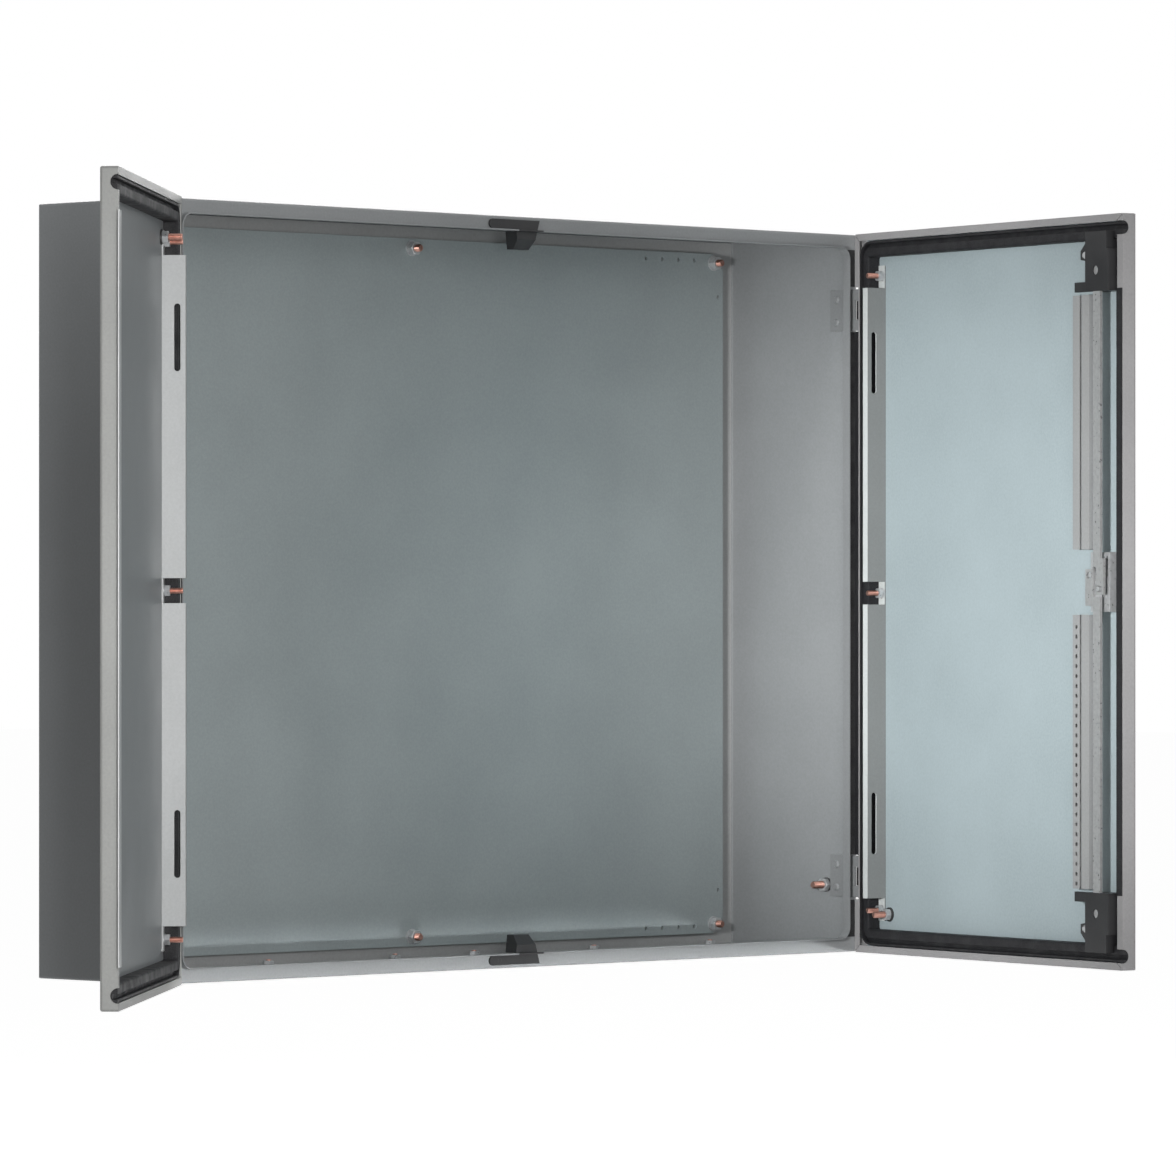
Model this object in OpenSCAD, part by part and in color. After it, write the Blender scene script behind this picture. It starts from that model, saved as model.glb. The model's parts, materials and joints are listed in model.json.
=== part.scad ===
// Double-door sheet-steel wall enclosure with a three-point lock.
// X runs to the right, Y towards the wall and Z up. The origin is the centre of the
// four wall holes, on the rear face. Both doors stand open.
// Door pieces are drawn for the right door, closed, and then swung on its hinge axis.
// The left door is the same door turned half a turn about Y.

/* [Body] */
// Overall width
body_w = 1000; // [900:10:1200]
// Overall height
body_h = 760; // [720:10:1000]
// Depth from the wall to the front flange
body_d = 181; // [150:1:300]
// Thickness of the body and door sheet
sheet = 1.5; // [1.2:0.1:1.6]
// Width of the front flange at the sides, up to the lip
side_flange = 20; // [19:0.5:22]
// Width of the front flange at the top and bottom
top_flange = 15; // [14.5:0.5:17]
// How far the sealing lip stands out of the flange
lip = 7.5; // [6.5:0.25:7.5]
// Inner corner radius of the door opening
opening_r = 12; // [10:1:14]
// Spacing of the wall holes across
wall_hole_dx = 940; // [800:10:940]
// Spacing of the wall holes up
wall_hole_dz = 660; // [500:10:660]
// Diameter of the wall holes
wall_hole_d = 8.5; // [7:0.5:10]

/* [Doors] */
// Depth of the door pan
door_t = 16.5; // [16:0.1:17]
// Gap between the flange and the closed door
door_gap = 2.5; // [2.3:0.1:2.8]
// Gap between the two closed doors
centre_gap = 4; // [3:0.5:6]
// How far the hinge edge of a door lies inside the side face of the body
door_inset = 5; // [4.5:0.1:5.2]
// Opening angle of the left door as drawn
left_open = 139.5; // [20:0.5:145]
// Opening angle of the right door as drawn
right_open = 75; // [20:0.5:145]
// Width of the door gasket
gasket_w = 17; // [16.5:0.1:17.5]
// Distance of the hinge axis from the side face
hinge_inset = 5; // [5:0.1:5.2]
// Distance of the hinge axis in front of the flange
hinge_lead = 10; // [9.8:0.1:10.2]
// Height of each hinge above or below the middle
hinge_z = 300; // [240:5:310]
// Height of one hinge
hinge_h = 44; // [40:1:50]

/* [Mounting plate] */
// Width of the mounting plate
plate_w = 939; // [800:1:940]
// Height of the mounting plate
plate_h = 728; // [700:1:728]
// Thickness of the mounting plate
plate_t = 2.5; // [2:0.5:3]
// Distance of the plate's front face from the wall
plate_y = 15; // [13:0.5:20]
// Corner cut of the plate
plate_chamfer = 16; // [10:1:20]

/* [Lock] */
// Distance of the lock axis from the free edge of the door
lock_u = 38; // [36:1:40]
// Height of the lock axis above the middle
lock_z = 10; // [0:1:20]
// Distance of the rods' centre line from the free edge
rod_u = 34; // [33:1:36]
// Width of the flat rods
rod_w = 12; // [10:0.5:13]
// Travel of each rod over a quarter turn
rod_travel = 14; // [12:0.5:14]

/* [Hidden] */
$fn = 48;

steel = [0.62, 0.64, 0.65];
plate_steel = [0.55, 0.60, 0.61];
zinc = [0.80, 0.81, 0.82];
copper = [0.80, 0.45, 0.32];
black = [0.06, 0.06, 0.07];
rubber = [0.10, 0.10, 0.10];

half_w = body_w / 2;
half_h = body_h / 2;
flange_y = -body_d;
open_w = half_w - side_flange;
open_h = half_h - top_flange;
rim_y = flange_y - door_gap;
door_y = rim_y - door_t;
panel_y = door_y + sheet;
hinge_x = half_w - hinge_inset;
hinge_y = flange_y - hinge_lead;
free_x = centre_gap / 2;
door_x = half_w - door_inset;
bend_r = 2.5;

// Lip position across the gasket, and the groove that it seats in
lip_at = 10;
groove_from = 9;
groove_to = 14.2;
gasket_in_w = open_w - lip_at;
gasket_in_h = open_h - lip_at;
gasket_corner_r = 2;
gasket_back = rim_y - 0.5;
groove_y = flange_y - lip - 0.5;

// Door rim, hinge notch and mating hinge parts
rim_free = 10;
pin_r = 2;
notch_r = 7;
knuckle_r = 4.5;
knuckle_h = 12;
hinge_play = 0.3;
leaf_t = 3;
foot_y = -147;
rivet_z = 12;
notch_h = hinge_h + 4;
notch_depth = 13;

// Hinge-side profile and its studs
profile_x = half_w - 42;
profile_foot = 11.5;
profile_top = 9;
profile_over = 8;
profile_half = 346;
profile_web_from = 12;
profile_web_to = 322;
stud_r = 3;
stud_len = 20;
profile_stud_x = profile_x + 5.5;
profile_stud_z = 335;
earth_x = half_w - 50;
earth_z = 339;

// Height of an earth stud's washer and nut together, and how much thicker its shank is there
earth_washer_t = 1.6;
earth_stack = 7.6;
earth_shank = 0.3;

// Mounting plate fixings and hole pattern
plate_stud_x = 454;
plate_stud_z = 354;
plate_stud_r = 4;
plate_hole_pitch = 25;

// Lock stack, measured behind the door rim
housing_back = 1;
cam_from = 3.2;
cam_to = 5.2;
rod_from = 5.6;
rod_to = 8.6;
cam_pin_r = 2.5;
cam_arm = rod_travel / 2 / sin(45);
cam_play = 0.4;
lock_x = free_x + lock_u;
rod_x = free_x + rod_u;
rod_tip_z = open_h - 4;
guide_back = 10;
guide_top = open_h - 2.3;
guide_h = 60;
ear_x = free_x + 59;
ear_z = guide_top - 23;

// ---------- shared shapes ----------

// Rectangle of half sizes a and b with round corners
module round_rect(a, b, r) {
    square([2 * a, 2 * (b - r)], center = true);
    square([2 * (a - r), 2 * b], center = true);
    for (i = [-1, 1], j = [-1, 1]) translate([i * (a - r), j * (b - r)]) circle(r);
}

// Box between two corners, with every edge rounded
module soft_box(lo, hi, r) {
    s = (hi - lo) / 2;
    m = (hi + lo) / 2;
    intersection() {
        translate([m.x, hi.y, m.z]) rotate([90, 0, 0]) linear_extrude(2 * s.y) round_rect(s.x, s.z, r);
        translate([m.x, m.y, lo.z]) linear_extrude(2 * s.z) round_rect(s.x, s.y, r);
        translate([lo.x, m.y, m.z]) rotate([90, 0, 90]) linear_extrude(2 * s.x) round_rect(s.y, s.z, r);
    }
}

// Plain box between two corners, whose X values may come in either order
module block(lo, hi) {
    translate([min(lo.x, hi.x), lo.y, lo.z]) cube([abs(hi.x - lo.x), hi.y - lo.y, hi.z - lo.z]);
}

// Outline in X and Z, extruded between two Y values
module wall_plate(y_from, y_to) {
    translate([0, y_to, 0]) rotate([90, 0, 0]) linear_extrude(y_to - y_from) children();
}

// Cylinder along Y, from one Y value to another
module rod_y(x, z, y_from, y_to, r) {
    translate([x, y_to, z]) rotate([90, 0, 0]) cylinder(r = r, h = y_to - y_from);
}

// Hexagon along Y with a bore, across flats af
module nut_y(x, z, y_from, y_to, af, bore) {
    difference() {
        translate([x, y_to, z]) rotate([90, 0, 0]) cylinder(d = af / cos(30), h = y_to - y_from, $fn = 6);
        rod_y(x, z, y_from - 1, y_to + 1, bore);
    }
}

// Flat ring along Y
module washer_y(x, z, y_from, y_to, r, bore) {
    difference() {
        rod_y(x, z, y_from, y_to, r);
        rod_y(x, z, y_from - 1, y_to + 1, bore);
    }
}

// Weld stud along Y with a bevelled tip
module stud_y(x, z, y_base, y_tip, r) {
    bevel = 1;
    away = y_tip > y_base ? 1 : -1;
    translate([x, y_base, z]) rotate([-90 * away, 0, 0]) {
        cylinder(r = r, h = abs(y_tip - y_base) - bevel);
        translate([0, 0, abs(y_tip - y_base) - bevel]) cylinder(r1 = r, r2 = r - bevel * 0.7, h = bevel);
    }
}

// Earth stud: a full shank inside its washer and nut, and a free thread of radius r beyond them
module earth_stud_y(x, z, y_base, y_tip, r) {
    stud_y(x, z, y_base, y_tip, r);
    rod_y(x, z, min(y_base, y_base + sign(y_tip - y_base) * earth_stack),
          max(y_base, y_base + sign(y_tip - y_base) * earth_stack), r + earth_shank);
}

// Swings a closed right-door piece to its place
module on_right_door() {
    translate([hinge_x, hinge_y, 0]) rotate([0, 0, right_open])
        translate([-hinge_x, -hinge_y, 0]) children();
}

// Turns a right-door piece over and swings it as the left door
module on_left_door() {
    rotate([0, 180, 0]) translate([hinge_x, hinge_y, 0]) rotate([0, 0, left_open])
        translate([-hinge_x, -hinge_y, 0]) children();
}

// ---------- body ----------

gland_x = 235;
gland_y = -98;
gland_cut = [340, 80];
gland_size = [380, 116];
gland_t = 2;
gland_floor = -half_h + sheet;
gland_bolt = [178, 49];

// Outside of the folded box, with its bend radii
module body_outline() {
    soft_box([-half_w, flange_y, -half_h], [half_w, 0, half_h], bend_r);
}

// Everything between two Y values
module body_slab(y_from, y_to) {
    block([-half_w - 1, y_from, -half_h - 1], [half_w + 1, y_to, half_h + 1]);
}

// The four walls, folded round from one strip
module body_shell() {
    color(steel) difference() {
        body_outline();
        soft_box([-half_w + sheet, flange_y + sheet, -half_h + sheet],
                 [half_w - sheet, -sheet, half_h - sheet], bend_r - sheet + 0.2);
        body_slab(flange_y - 1, flange_y + sheet);
        body_slab(-sheet, 1);
        for (i = [-1, 1]) translate([i * gland_x, gland_y, -half_h])
            cube([gland_cut.x, gland_cut.y, 4 * sheet], center = true);
    }
}

module rear_wall() {
    color(steel) difference() {
        intersection() {
            body_outline();
            body_slab(-sheet, 1);
        }
        wall_holes();
    }
}

// Flange round the opening, with the lip that the door gaskets close on
module front_frame() {
    color(steel) difference() {
        union() {
            intersection() {
                body_outline();
                body_slab(flange_y - 1, flange_y + sheet);
            }
            wall_plate(flange_y - lip, flange_y + sheet)
                round_rect(open_w + sheet, open_h + sheet, opening_r + sheet);
        }
        wall_plate(flange_y - lip - 1, flange_y + sheet + 1) round_rect(open_w, open_h, opening_r);
        lip_breaks();
        hinge_slots();
    }
}

// The lip stops on both sides of the centre blocks
module lip_breaks() {
    for (j = [-1, 1]) translate([0, flange_y - lip / 2, j * (open_h + sheet / 2)])
        cube([36, lip, 2 * sheet], center = true);
}

module hinge_slots() {
    x = hinge_x - knuckle_r + leaf_t / 2;
    for (i = [-1, 1], j = [-1, 1]) translate([i * x, flange_y + sheet / 2, j * hinge_z])
        cube([leaf_t + 0.6, 3 * sheet, hinge_h + 0.6], center = true);
}

module wall_holes() {
    for (i = [-1, 1], j = [-1, 1])
        rod_y(i * wall_hole_dx / 2, j * wall_hole_dz / 2, -2 * sheet, 1, wall_hole_d / 2);
}

// The eight fixing points round each gland opening
module gland_points() {
    for (i = [-1, 1], a = [-1, 0, 1], b = [-1, 1])
        translate([i * gland_x + a * gland_bolt.x, gland_y + b * gland_bolt.y, gland_floor]) children();
}

module gland_slab(z_from, z_to, margin) {
    difference() {
        for (i = [-1, 1]) translate([i * gland_x, gland_y, gland_floor + z_from])
            linear_extrude(z_to - z_from) round_rect(gland_size.x / 2 - margin, gland_size.y / 2 - margin, 5);
        gland_points() cylinder(r = stud_r, h = 20, center = true);
    }
}

module gland_plates() {
    color(steel) gland_slab(gland_t, 2 * gland_t, 0);
}

module gland_gaskets() {
    color(rubber) difference() {
        gland_slab(0, gland_t, 1);
        for (i = [-1, 1]) translate([i * gland_x, gland_y, gland_floor])
            cube([gland_cut.x, gland_cut.y, 20], center = true);
    }
}

module gland_studs() {
    color(copper) gland_points() cylinder(r = stud_r, h = 10);
}

module gland_nuts() {
    color(zinc) gland_points() difference() {
        translate([0, 0, 2 * gland_t]) cylinder(d = 10 / cos(30), h = 5, $fn = 6);
        cylinder(r = stud_r, h = 20);
    }
}

// ---------- mounting plate ----------

// The six fixing points of the plate
module plate_points() {
    for (i = [-1, 0, 1], j = [-1, 1]) translate([i * plate_stud_x, 0, j * plate_stud_z]) children();
}

module mounting_plate() {
    a = plate_w / 2;
    b = plate_h / 2;
    c = plate_chamfer;
    color(plate_steel) difference() {
        wall_plate(-plate_y, -plate_y + plate_t)
            polygon([[-a, -b + c], [-a + c, -b], [a - c, -b], [a, -b + c],
                     [a, b - c], [a - c, b], [-a + c, b], [-a, b - c]]);
        plate_points() rod_y(0, 0, -plate_y - 1, 0, plate_stud_r + 0.5);
        for (i = [-1, 1], j = [-1, 1]) {
            for (k = [0 : 3]) rod_y(i * (350 + k * plate_hole_pitch), j * 356, -plate_y - 1, 0, 2.1);
            rod_y(i * 462, j * 318, -plate_y - 1, 0, 2.1);
        }
    }
}

module plate_studs() {
    color(copper) plate_points() stud_y(0, 0, -sheet, -plate_y - 14, plate_stud_r);
}

module plate_spacers() {
    color(zinc) plate_points() washer_y(0, 0, -plate_y + plate_t, -sheet, 7, plate_stud_r);
}

module plate_washers() {
    color(zinc) plate_points() washer_y(0, 0, -plate_y - 1.6, -plate_y, 8, plate_stud_r);
}

module plate_nuts() {
    color(zinc) plate_points() nut_y(0, 0, -plate_y - 8.1, -plate_y - 1.6, 13, plate_stud_r);
}

// ---------- hinges ----------

// Both hinge heights of one side
module hinge_points() {
    for (j = [-1, 1]) translate([hinge_x, hinge_y, j * hinge_z]) children();
}

// Body leaf: tangent to its two knuckles, through the flange and out to the side wall
module hinge_body_leaves() {
    neck_from = knuckle_r + 0.5;
    foot_from = flange_y + sheet - hinge_y + 1.4;
    foot_to = foot_y - hinge_y;
    foot_out = hinge_inset - sheet;
    hinge_points() difference() {
        union() {
            for (j = [-1, 1]) translate([0, 0, j * (hinge_h - knuckle_h) / 2]) {
                cylinder(r = knuckle_r, h = knuckle_h, center = true);
                translate([-knuckle_r, 0, -knuckle_h / 2]) cube([leaf_t, neck_from + 1, knuckle_h]);
            }
            translate([-knuckle_r, neck_from, -hinge_h / 2])
                cube([leaf_t, foot_from - neck_from + 1, hinge_h]);
            translate([-knuckle_r, foot_from, -hinge_h / 2])
                cube([knuckle_r + foot_out, leaf_t, hinge_h]);
            translate([foot_out - leaf_t, foot_from, -hinge_h / 2])
                cube([leaf_t, foot_to - foot_from, hinge_h]);
        }
        cylinder(r = pin_r, h = hinge_h + 2, center = true);
        for (j = [-1, 1]) translate([0, foot_to - 9, j * rivet_z]) rotate([0, 90, 0])
            cylinder(r = pin_r, h = foot_out + 1);
    }
}

// Door leaf: a block on the panel inside the notch, with the middle knuckle on it
module hinge_door_leaves() {
    h = hinge_h - 2 * knuckle_h - 2 * hinge_play;
    hinge_points() difference() {
        union() {
            cylinder(r = knuckle_r, h = h, center = true);
            translate([-7, panel_y - hinge_y, -h / 2]) cube([4, hinge_y - panel_y, h]);
            translate([-7, rim_y - notch_depth + 0.3 - hinge_y, -h / 2])
                cube([7, hinge_y + notch_depth - 0.3 - rim_y, h]);
        }
        cylinder(r = pin_r + 0.05, h = hinge_h, center = true);
    }
}

module hinge_pins() {
    hinge_points() {
        cylinder(r = pin_r, h = hinge_h, center = true);
        for (j = [-1, 1]) translate([0, 0, j * (hinge_h / 2 + 0.5)])
            cylinder(r = pin_r + 0.8, h = 1, center = true);
    }
}

module rivets_one_side() {
    x_in = half_w - sheet - leaf_t;
    for (j = [-1, 1], k = [-1, 1]) translate([x_in, foot_y - 9, j * hinge_z + k * rivet_z]) {
        rotate([0, 90, 0]) cylinder(r = pin_r, h = leaf_t);
        rotate([0, -90, 0]) cylinder(r1 = 4, r2 = 2.6, h = 2);
    }
}

module left_hinge_body_leaves() {
    color(zinc) rotate([0, 180, 0]) hinge_body_leaves();
}

module right_hinge_body_leaves() {
    color(zinc) hinge_body_leaves();
}

module left_hinge_door_leaves() {
    color(zinc) on_left_door() hinge_door_leaves();
}

module right_hinge_door_leaves() {
    color(zinc) on_right_door() hinge_door_leaves();
}

module left_hinge_pins() {
    color(zinc) rotate([0, 180, 0]) hinge_pins();
}

module right_hinge_pins() {
    color(zinc) hinge_pins();
}

module hinge_rivets() {
    color(zinc) {
        rivets_one_side();
        rotate([0, 180, 0]) rivets_one_side();
    }
}

// ---------- centre blocks and body earth ----------

// Moulded block in the middle of the lip, where the two door gaskets meet
module centre_block() {
    face = flange_y - 2;
    deep = flange_y + 14;
    top_z = half_h - 3.5;
    low_z = open_h - 18;
    difference() {
        union() {
            intersection() {
                wall_plate(face, deep)
                    polygon([[-17, top_z], [17, top_z], [8, low_z], [-14, low_z], [-16, open_h - 2]]);
                union() {
                    block([-30, face, open_h], [30, flange_y, top_z]);
                    translate([-30, 0, 0]) rotate([90, 0, 90]) linear_extrude(60)
                        polygon([[face, open_h + 1], [flange_y, open_h], [deep, open_h], [deep, low_z],
                                 [flange_y + 5, low_z], [face, open_h - 8]]);
                }
            }
            block([-17, flange_y - lip, open_h], [17, face + 1, open_h + sheet]);
            block([-50, face, half_h - 13], [-15, flange_y, top_z]);
            rod_y(-50, (half_h - 13 + top_z) / 2, face, flange_y, (top_z - half_h + 13) / 2);
        }
        rod_y(-40, (half_h - 13 + top_z) / 2, face - 1, flange_y, 2.5);
    }
}

module centre_block_top() {
    color(black) centre_block();
}

module centre_block_bottom() {
    color(black) mirror([0, 0, 1]) centre_block();
}

module centre_block_screws() {
    z = half_h - 8.25;
    color(black) for (j = [-1, 1]) rod_y(-40, j * z, flange_y - 2, flange_y, 2.5);
}

body_earth_y = -body_d + 42;
body_earth_z = -310;

// Places a Y-axis stack on the inside of the right wall, pointing inwards
module on_right_wall() {
    translate([half_w - sheet, body_earth_y, body_earth_z]) rotate([0, 0, -90]) children();
}

module body_earth_stud() {
    color(copper) on_right_wall() earth_stud_y(0, 0, 0, -22, plate_stud_r);
}

module body_earth_washer() {
    color(black) on_right_wall() washer_y(0, 0, -earth_washer_t, 0, 7.5, plate_stud_r + earth_shank);
}

module body_earth_nut() {
    color(zinc) on_right_wall() nut_y(0, 0, -earth_stack, -earth_washer_t, 13, plate_stud_r + earth_shank);
}

// ---------- doors ----------

module door_panel(lock_hole = false) {
    cut = 40;
    inner_r = bend_r - sheet + 0.2;
    difference() {
        soft_box([free_x, door_y, -half_h], [door_x, rim_y + cut, half_h], bend_r);
        difference() {
            soft_box([free_x + sheet, panel_y, -half_h + sheet],
                     [door_x - sheet, rim_y + cut, half_h - sheet], inner_r);
            rim_frame();
        }
        block([0, rim_y, -half_h - 1], [half_w + 1, rim_y + cut + 1, half_h + 1]);
        rim_mitres();
        hinge_notches();
        gasket_ends();
        if (lock_hole) rod_y(lock_x, lock_z, door_y - 1, panel_y + 1, 11);
    }
}

// The flange that turns in round the back of the pan, up to the gasket
module rim_frame() {
    difference() {
        block([free_x, rim_y - sheet, -half_h], [door_x, rim_y, half_h]);
        block([free_x + rim_free, rim_y - sheet - 1, -gasket_in_h - gasket_w - 0.5],
              [gasket_in_w + gasket_w + 0.5, rim_y + 1, gasket_in_h + gasket_w + 0.5]);
    }
}

// Fold relief cuts across the corners of the rim
module rim_mitres() {
    for (j = [-1, 1]) {
        translate([door_x - 4, rim_y - 0.5, j * (half_h - 4)]) rotate([0, -j * 40, 0])
            cube([10, 2 * sheet, 0.8], center = true);
        translate([free_x + 6, rim_y - 0.5, j * (half_h - 4)]) rotate([0, j * 35, 0])
            cube([10, 2 * sheet, 0.8], center = true);
    }
}

module hinge_notches() {
    for (j = [-1, 1]) translate([half_w, rim_y - notch_depth / 2, j * hinge_z])
        cube([24, notch_depth, notch_h], center = true);
}

// Half-round notches in the free edge, where the body's lip passes and the gasket ends
module gasket_ends() {
    for (j = [-1, 1]) translate([free_x - 1, rim_y, j * (open_h + sheet / 2)]) rotate([0, 90, 0])
        cylinder(r = notch_r, h = rim_free + 2);
}

// Section of the gasket: s across from the inner edge, t up from the panel
module gasket_section() {
    t = gasket_back - panel_y;
    g = groove_y - panel_y;
    difference() {
        union() {
            square([gasket_w, t - 2]);
            translate([2, 0]) square([gasket_w - 3.4, t]);
            translate([2, t - 2]) circle(2);
            translate([gasket_w - 1.4, t - 1.4]) circle(1.4);
        }
        translate([groove_from, g]) square([groove_to - groove_from, t]);
    }
}

// One straight leg of the gasket along X, from x_from to x_to
module gasket_leg(x_from, x_to) {
    translate([x_from, panel_y, gasket_in_h]) rotate([90, 0, 90])
        linear_extrude(x_to - x_from) mirror([1, -1, 0]) gasket_section();
}

// Half-round end of the gasket that fills the notch, level with the rim
module gasket_end() {
    x_to = free_x + rim_free + 0.4;
    difference() {
        translate([free_x + 0.2, rim_y, open_h + sheet / 2]) rotate([0, 90, 0])
            cylinder(r = notch_r - 0.2, h = x_to - free_x - 0.2);
        block([0, gasket_back, gasket_in_h], [x_to + 1, rim_y + notch_r, gasket_in_h + 2 * gasket_w]);
        block([0, groove_y, gasket_in_h + groove_from], [x_to + 1, rim_y, gasket_in_h + groove_to]);
    }
}

module door_gasket() {
    r = gasket_corner_r;
    x_turn = gasket_in_w - r;
    z_turn = gasket_in_h - r;
    for (j = [0, 1]) mirror([0, 0, j]) {
        gasket_leg(free_x + rim_free + 0.3, x_turn);
        gasket_end();
        intersection() {
            gasket_leg(free_x + sheet + 1.3, free_x + rim_free + 0.4);
            block([free_x, panel_y, 0], [free_x + 2 * rim_free, rim_y - sheet, half_h]);
        }
        translate([x_turn, panel_y, z_turn]) rotate([-90, 0, 0])
            rotate([0, 0, -90]) rotate_extrude(angle = 90) translate([r, 0]) gasket_section();
    }
    translate([gasket_in_w, panel_y, -z_turn]) linear_extrude(2 * z_turn) gasket_section();
}

// Slotted profile welded down the hinge side of the door
module hinge_profile() {
    top = rim_y + profile_over;
    difference() {
        union() {
            block([profile_x, panel_y, -profile_half],
                  [profile_x + profile_foot, panel_y + sheet, profile_half]);
            for (j = [0, 1]) mirror([0, 0, j]) {
                block([profile_x, panel_y, profile_web_from], [profile_x + sheet, top, profile_web_to]);
                block([profile_x, top - sheet, profile_web_from],
                      [profile_x + profile_top, top, profile_web_to]);
                block([profile_x + profile_top - sheet, top - 5, profile_web_from],
                      [profile_x + profile_top, top, profile_web_to]);
            }
        }
        for (z = [-profile_stud_z, 0, profile_stud_z]) rod_y(profile_stud_x, z, panel_y - 1, top, stud_r);
        for (z = [-243, 243]) translate([profile_x, panel_y + 15, z]) {
            cube([4, 6, 59], center = true);
            for (j = [-1, 1]) translate([0, 0, j * 29.5]) rotate([0, 90, 0])
                cylinder(r = 3, h = 4, center = true);
        }
    }
}

module profile_fixings(part) {
    for (z = [-profile_stud_z, 0, profile_stud_z]) {
        y = panel_y + sheet;
        if (part == "stud") stud_y(profile_stud_x, z, panel_y, panel_y + stud_len, stud_r);
        if (part == "washer") washer_y(profile_stud_x, z, y, y + 1, 5.8, stud_r);
        if (part == "nut") nut_y(profile_stud_x, z, y + 1, y + 6, 10, stud_r);
    }
}

module earth_fixings(part) {
    r = stud_r + 0.5;
    bore = r + earth_shank;
    if (part == "stud") earth_stud_y(earth_x, -earth_z, panel_y, panel_y + 21, r);
    if (part == "washer") washer_y(earth_x, -earth_z, panel_y, panel_y + earth_washer_t, 7.5, bore);
    if (part == "nut") nut_y(earth_x, -earth_z, panel_y + earth_washer_t, panel_y + earth_stack, 11, bore);
}

module left_door_panel() {
    color(steel) on_left_door() door_panel();
}

module right_door_panel() {
    color(steel) on_right_door() door_panel(lock_hole = true);
}

module left_door_gasket() {
    color(rubber) on_left_door() door_gasket();
}

module right_door_gasket() {
    color(rubber) on_right_door() door_gasket();
}

module left_hinge_profile() {
    color(zinc) on_left_door() hinge_profile();
}

module right_hinge_profile() {
    color(zinc) on_right_door() hinge_profile();
}

module left_profile_studs() {
    color(copper) on_left_door() profile_fixings("stud");
}

module left_profile_washers() {
    color(zinc) on_left_door() profile_fixings("washer");
}

module left_profile_nuts() {
    color(zinc) on_left_door() profile_fixings("nut");
}

module right_profile_studs() {
    color(copper) on_right_door() profile_fixings("stud");
}

module right_profile_washers() {
    color(zinc) on_right_door() profile_fixings("washer");
}

module right_profile_nuts() {
    color(zinc) on_right_door() profile_fixings("nut");
}

module left_earth_stud() {
    color(copper) on_left_door() earth_fixings("stud");
}

module left_earth_washer() {
    color(black) on_left_door() earth_fixings("washer");
}

module left_earth_nut() {
    color(zinc) on_left_door() earth_fixings("nut");
}

module right_earth_stud() {
    color(copper) on_right_door() earth_fixings("stud");
}

module right_earth_washer() {
    color(black) on_right_door() earth_fixings("washer");
}

module right_earth_nut() {
    color(zinc) on_right_door() earth_fixings("nut");
}

// Z-strip on the left door that the right door's seal closes against
module left_closing_strip() {
    half = 340;
    color(steel) on_left_door() {
        block([free_x + 2.5, rim_y, -half], [free_x + 9.5, rim_y + 1.2, half]);
        block([free_x + 2.5, rim_y, -half], [free_x + 4, rim_y + 2.7, half]);
        block([-11, rim_y + 1.5, -half], [free_x + 4, rim_y + 2.7, half]);
    }
}

module right_centre_seal() {
    color(rubber) on_right_door()
        block([free_x + 0.8, rim_y, -305], [free_x + 9.8, rim_y + 1.2, 305]);
}

// ---------- lock ----------

housing_half = 30;
profile_u = [57, 86];
slit_u = [71, 74.5];
profile_gap = 3;

// Perforated channel beside the rods, in two lengths either side of the lock
module lock_side_profile() {
    x0 = free_x + profile_u[0];
    x1 = free_x + profile_u[1];
    top = rim_y + 1.5;
    low = lock_z - housing_half - profile_gap;
    high = lock_z + housing_half + profile_gap;
    color(zinc) on_right_door() difference() {
        union() {
            for (span = [[-300, low], [high, 300]]) {
                block([x0, panel_y, span[0]], [x0 + sheet, top, span[1]]);
                block([x1 - sheet, panel_y, span[0]], [x1, top, span[1]]);
                block([x0, panel_y, span[0]], [x1, panel_y + sheet, span[1]]);
                block([x0, top - sheet, span[0]], [x1, top, span[1]]);
            }
        }
        block([free_x + slit_u[0], top - 2 * sheet, -301], [free_x + slit_u[1], top + 1, 301]);
        for (k = [0 : 26]) rod_y(x1 - 6, low - 12 - k * 10, top - 2 * sheet, top + 1, 2.2);
    }
}

module lock_housing() {
    wall = 2;
    back = rim_y + housing_back;
    z0 = lock_z - housing_half;
    z1 = lock_z + housing_half;
    color(zinc) on_right_door() difference() {
        block([lock_x - 17, panel_y, z0], [lock_x + 17, back, z1]);
        block([lock_x - 17 + wall, panel_y - 1, z0 + wall], [lock_x + 17 - wall, back - wall, z1 - wall]);
        rod_y(lock_x, lock_z, back - 3 * wall, back + 1, 5.05);
        for (i = [-1, 1]) translate([lock_x + i * 11, 0, 0])
            block([-2, back - 3 * wall, lock_z + 6], [2, back + 1, z1 - 4]);
    }
}

// Fixed barrel through the door sheet, with its front rim
module lock_barrel() {
    front = door_y;
    color(zinc) on_right_door() difference() {
        union() {
            rod_y(lock_x, lock_z, front, rim_y - 3.5, 11);
            rod_y(lock_x, lock_z, front - 2.5, front, 15);
        }
        rod_y(lock_x, lock_z, front - 3, rim_y, 8.05);
    }
}

module lock_barrel_nut() {
    color(zinc) on_right_door() nut_y(lock_x, lock_z, panel_y, panel_y + 5, 26, 11);
}

// Turning core: a round socket with a double-bit pin, and the spindle behind it
module lock_core() {
    front = door_y - 2;
    color(zinc) on_right_door() difference() {
        union() {
            rod_y(lock_x, lock_z, front, rim_y - 4, 8);
            rod_y(lock_x, lock_z, rim_y - 4, rim_y + cam_from, 5);
        }
        difference() {
            rod_y(lock_x, lock_z, front - 1, front + 9, 5.5);
            rod_y(lock_x, lock_z, front - 2, front + 10, 2);
            translate([lock_x, front + 5, lock_z]) cube([9, 12, 1.6], center = true);
        }
    }
}

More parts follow.
